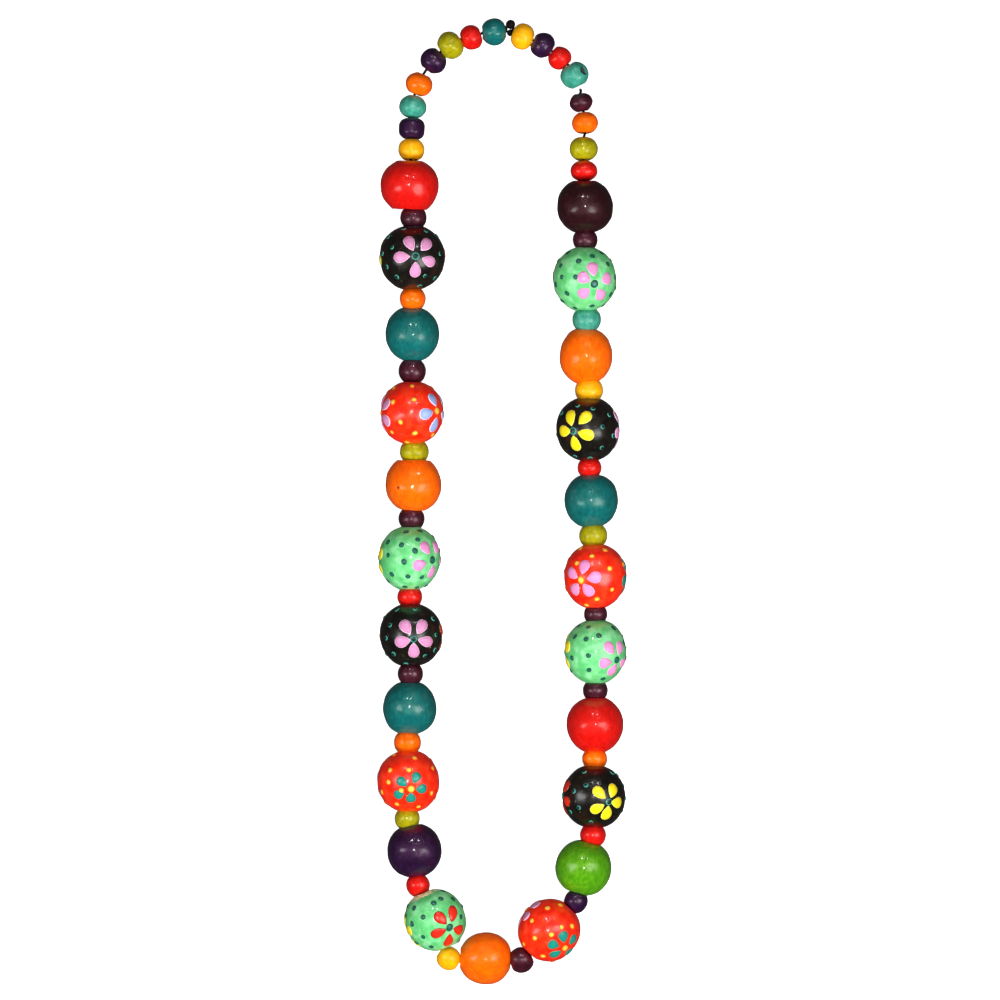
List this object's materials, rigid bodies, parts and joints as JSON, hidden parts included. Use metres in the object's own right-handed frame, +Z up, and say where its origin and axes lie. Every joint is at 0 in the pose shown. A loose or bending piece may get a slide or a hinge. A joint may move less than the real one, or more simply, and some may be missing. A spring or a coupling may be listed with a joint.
{
  "type": "beaded necklace",
  "caption": "Long loop of dyed and hand-painted round wooden beads with small spacer beads on black elastic cord, knotted behind the neck, lying flat.",
  "frame": {"origin": "middle of the necklace's box, on the surface that the beads lie on", "axes": "+Y along the loop towards the knot behind the neck, +X to the right as the lying necklace is seen from above, +Z up off the surface"},
  "size_m": [0.096, 0.3726, 0.0252],
  "materials": {
    "red_dyed_wood": "dyed and gloss lacquered",
    "orange_dyed_wood": "dyed and gloss lacquered",
    "yellow_dyed_wood": "dyed and gloss lacquered",
    "olive_dyed_wood": "dyed and gloss lacquered",
    "teal_dyed_wood": "dyed and gloss lacquered",
    "turquoise_dyed_wood": "dyed and gloss lacquered",
    "purple_dyed_wood": "dyed and gloss lacquered",
    "plum_dyed_wood": "dyed and gloss lacquered",
    "green_dyed_wood": "dyed and gloss lacquered",
    "black_painted_wood": "gloss paint with raised dots and petals",
    "scarlet_painted_wood": "gloss paint with raised dots and petals",
    "pale_green_painted_wood": "gloss paint with raised dots and petals",
    "black_elastic": "woven cover over a rubber core"
  },
  "bodies": {
    "root": {"neck_bead_01_teal": "teal_dyed_wood", "neck_bead_02_red": "red_dyed_wood", "neck_bead_03_olive": "olive_dyed_wood", "neck_bead_04_purple": "purple_dyed_wood", "neck_bead_05_orange": "orange_dyed_wood", "neck_bead_06_turquoise": "turquoise_dyed_wood", "neck_bead_07_purple": "purple_dyed_wood", "neck_bead_08_yellow": "yellow_dyed_wood", "plain_bead_09_red": "red_dyed_wood", "painted_bead_11_black": "black_painted_wood", "plain_bead_13_teal": "teal_dyed_wood", "painted_bead_15_scarlet": "scarlet_painted_wood", "plain_bead_17_orange": "orange_dyed_wood", "painted_bead_19_green": "pale_green_painted_wood", "painted_bead_21_black": "black_painted_wood", "plain_bead_23_teal": "teal_dyed_wood", "painted_bead_25_scarlet": "scarlet_painted_wood", "plain_bead_27_purple": "purple_dyed_wood", "painted_bead_29_green": "pale_green_painted_wood", "plain_bead_31_orange": "orange_dyed_wood", "painted_bead_33_scarlet": "scarlet_painted_wood", "plain_bead_35_green": "green_dyed_wood", "painted_bead_37_black": "black_painted_wood", "plain_bead_39_red": "red_dyed_wood", "painted_bead_41_green": "pale_green_painted_wood", "painted_bead_43_scarlet": "scarlet_painted_wood", "plain_bead_45_teal": "teal_dyed_wood", "painted_bead_47_black": "black_painted_wood", "plain_bead_49_orange": "orange_dyed_wood", "painted_bead_51_green": "pale_green_painted_wood", "plain_bead_53_purple": "purple_dyed_wood", "neck_bead_54_red": "red_dyed_wood", "neck_bead_55_olive": "olive_dyed_wood", "neck_bead_56_orange": "orange_dyed_wood", "neck_bead_57_plum": "plum_dyed_wood", "neck_bead_58_turquoise": "turquoise_dyed_wood", "neck_bead_59_red": "red_dyed_wood", "neck_bead_60_purple": "purple_dyed_wood", "neck_bead_61_yellow": "yellow_dyed_wood", "string_with_spacers": "black_elastic"}
  },
  "joints": []
}
